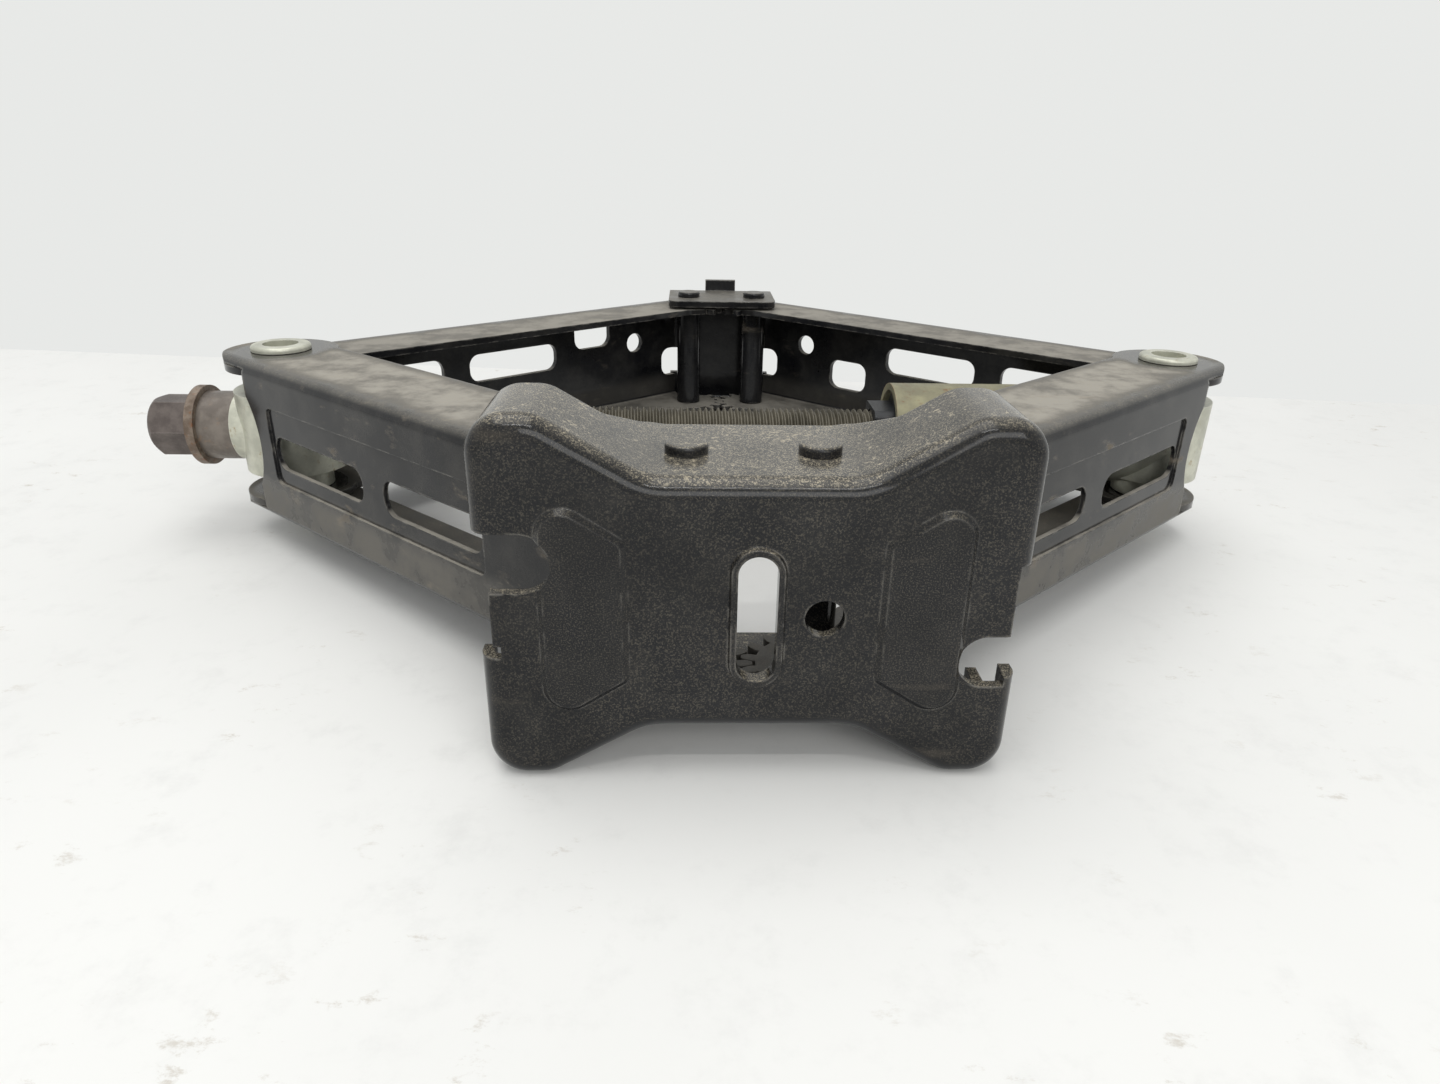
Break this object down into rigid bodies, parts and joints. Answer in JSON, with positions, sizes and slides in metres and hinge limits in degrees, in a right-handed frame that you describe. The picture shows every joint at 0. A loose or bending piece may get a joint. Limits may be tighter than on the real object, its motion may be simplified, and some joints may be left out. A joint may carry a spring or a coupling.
{
  "type": "scissor jack",
  "caption": "Screw-driven scissor jack lying on its side: stamped foot, four channel arms, trunnions, long lead screw with hex drive and a small saddle.",
  "frame": {"origin": "centre of the foot's ground face, on the mid-plane of the jack", "axes": "+X along the lead screw from the drive hex to the nut, +Y the lift direction from foot to saddle, +Z along the pivot pins; the jack lies on its side, and a turn of +90 degrees about X stands it on its foot"},
  "size_m": [0.3366, 0.2588, 0.0796],
  "materials": {
    "black_paint": "semi-gloss black paint, dusty",
    "zinc": "zinc plated, pale, slightly yellow",
    "dull_zinc": "dull olive zinc with rust at the mouth",
    "dark_steel": "dark oxidised steel",
    "phosphated_steel": "phosphated and greased thread",
    "rusted_steel": "brown, lightly rusted",
    "bare_steel": "bare turned steel"
  },
  "bodies": {
    "foot": {"foot_plate": "black_paint", "foot_pin_left": "black_paint", "foot_pin_right": "black_paint", "foot_spacer_left": "black_paint", "foot_spacer_right": "black_paint"},
    "lower_arm_l": {"lower_arm_left": "black_paint"},
    "lower_arm_r": {"lower_arm_right": "black_paint"},
    "upper_arm_l": {"upper_arm_left": "black_paint"},
    "upper_arm_r": {"upper_arm_right": "black_paint"},
    "saddle": {"saddle_bracket": "black_paint", "saddle_pin_left": "black_paint", "saddle_pin_right": "black_paint", "saddle_spacer_left": "black_paint", "saddle_spacer_right": "black_paint"},
    "drive_end": {"drive_trunnion": "zinc", "thrust_sleeve": "bare_steel", "inner_race": "bare_steel", "bearing_balls": "bare_steel"},
    "screw": {"lead_screw": "phosphated_steel", "screw_stop": "phosphated_steel", "drive_hex": "dark_steel", "thrust_ring": "rusted_steel", "outer_race": "bare_steel"},
    "nut_end": {"nut_trunnion": "zinc", "nut_sleeve": "dull_zinc", "lead_nut": "dark_steel"}
  },
  "joints": [
    {"name": "lift", "type": "hinge", "parent": "foot", "child": "lower_arm_l", "pos_m": [-0.0137, 0.01937, 0], "axis": [0, 0, -1], "range_deg": [-32, 32]},
    {"name": "lower_right_pivot", "type": "hinge", "parent": "foot", "child": "lower_arm_r", "pos_m": [0.0137, 0.01937, 0], "axis": [0, 0, 1], "range_deg": [-32, 32]},
    {"name": "upper_left_pivot", "type": "hinge", "parent": "lower_arm_l", "child": "upper_arm_l", "pos_m": [-0.13928, 0.12854, 0], "axis": [0, 0, 1], "range_deg": [-64, 64]},
    {"name": "drive_trunnion_pivot", "type": "hinge", "parent": "lower_arm_l", "child": "drive_end", "pos_m": [-0.13928, 0.12854, 0], "axis": [0, 0, 1], "range_deg": [-32, 32]},
    {"name": "screw_spin", "type": "hinge", "parent": "drive_end", "child": "screw", "pos_m": [-0.13928, 0.12854, 0], "axis": [1, 0, 0], "continuous": true},
    {"name": "upper_right_pivot", "type": "hinge", "parent": "lower_arm_r", "child": "upper_arm_r", "pos_m": [0.13928, 0.12854, 0], "axis": [0, 0, -1], "range_deg": [-64, 64]},
    {"name": "nut_trunnion_pivot", "type": "hinge", "parent": "lower_arm_r", "child": "nut_end", "pos_m": [0.13928, 0.12854, 0], "axis": [0, 0, -1], "range_deg": [-32, 32]},
    {"name": "saddle_pivot", "type": "hinge", "parent": "upper_arm_l", "child": "saddle", "pos_m": [-0.0137, 0.23771, 0], "axis": [0, 0, -1], "range_deg": [-32, 32]}
  ],
  "couplings": [
    {"joint": "lower_right_pivot", "follows": "lift", "ratio": 1},
    {"joint": "upper_left_pivot", "follows": "lift", "ratio": 2},
    {"joint": "drive_trunnion_pivot", "follows": "lift", "ratio": 1},
    {"joint": "upper_right_pivot", "follows": "lift", "ratio": 2},
    {"joint": "nut_trunnion_pivot", "follows": "lift", "ratio": 1},
    {"joint": "saddle_pivot", "follows": "lift", "ratio": 1}
  ]
}
